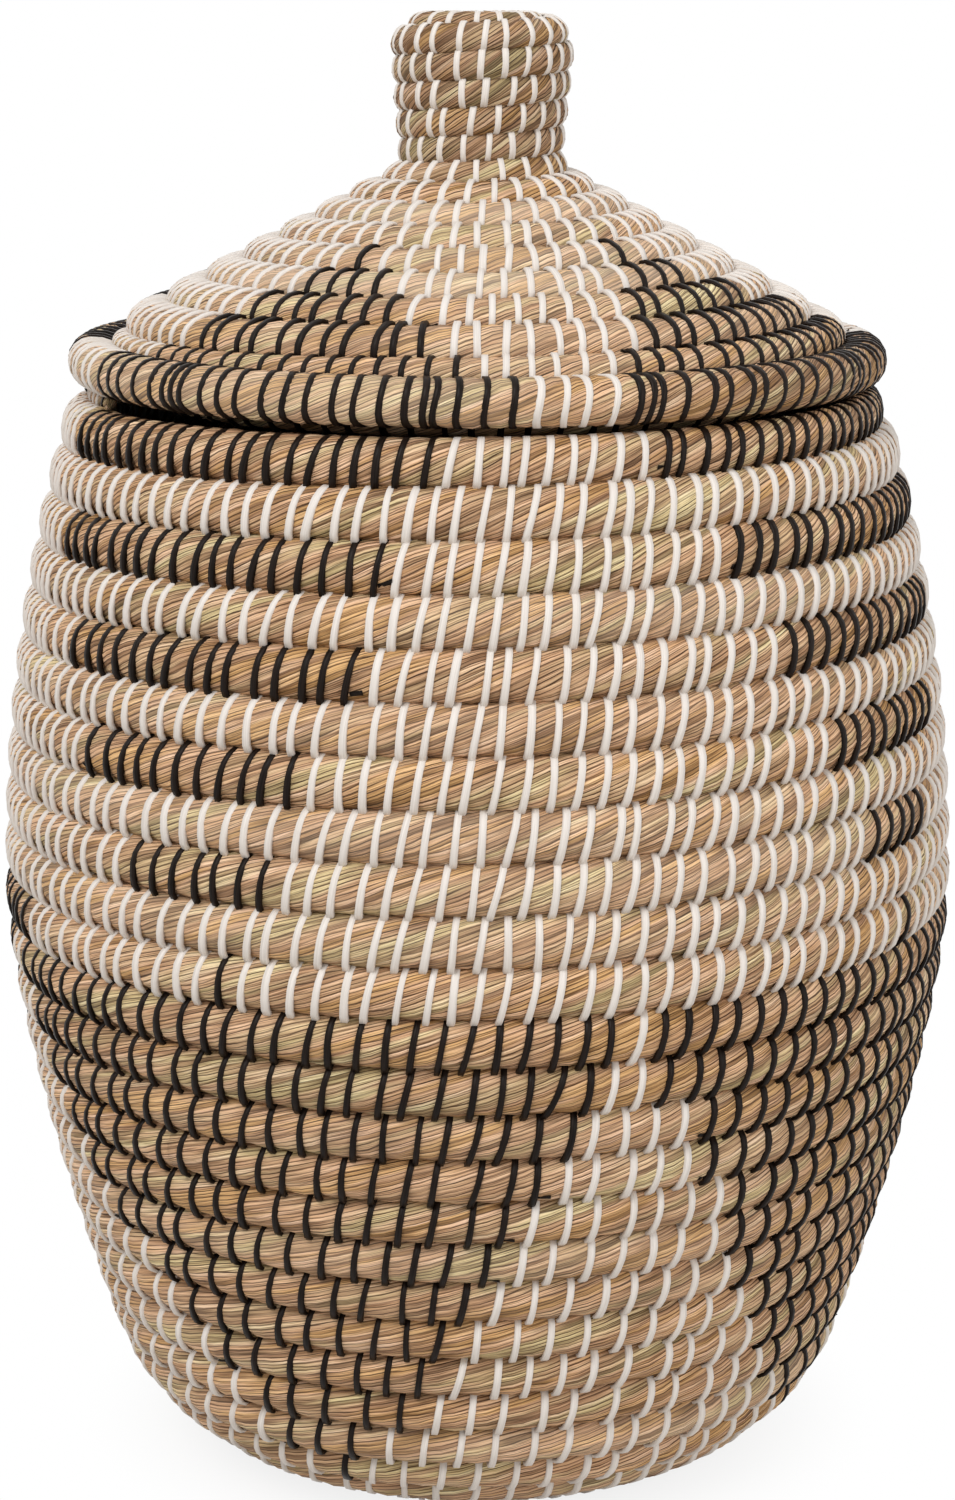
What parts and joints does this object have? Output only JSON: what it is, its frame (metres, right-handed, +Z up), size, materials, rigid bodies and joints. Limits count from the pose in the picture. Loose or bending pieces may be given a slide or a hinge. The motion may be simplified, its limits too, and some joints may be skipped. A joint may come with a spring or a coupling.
{
  "type": "laundry basket",
  "caption": "Tall coiled seagrass laundry basket with a swelling wall, a rounded foot and a lift-off cone lid with a round knob, its rows lashed with white and black strips.",
  "frame": {"origin": "on the floor under the middle of the base", "axes": "+Z up along the basket's axis, -Y towards the side that the picture shows"},
  "size_m": [0.4008, 0.4009, 0.6054],
  "materials": {
    "seagrass": "dry bundled seagrass, matt",
    "white_strip": "flat white plastic lashing strip",
    "black_strip": "flat black plastic lashing strip, satin"
  },
  "bodies": {
    "basket": {"base_coil": "seagrass", "foot_coil": "seagrass", "lower_wall_coil": "seagrass", "upper_wall_coil": "seagrass", "mouth_coil": "seagrass"},
    "lid": {"knob_cap_coil": "seagrass", "knob_coil": "seagrass", "crown_coil": "seagrass", "lid_rim_hoop": "seagrass", "lid_seat_ring": "seagrass"}
  },
  "joints": [
    {"name": "lid_lift", "type": "slide", "parent": "basket", "child": "lid", "axis": [0, 0, 1], "range_m": [0, 0.25]}
  ]
}
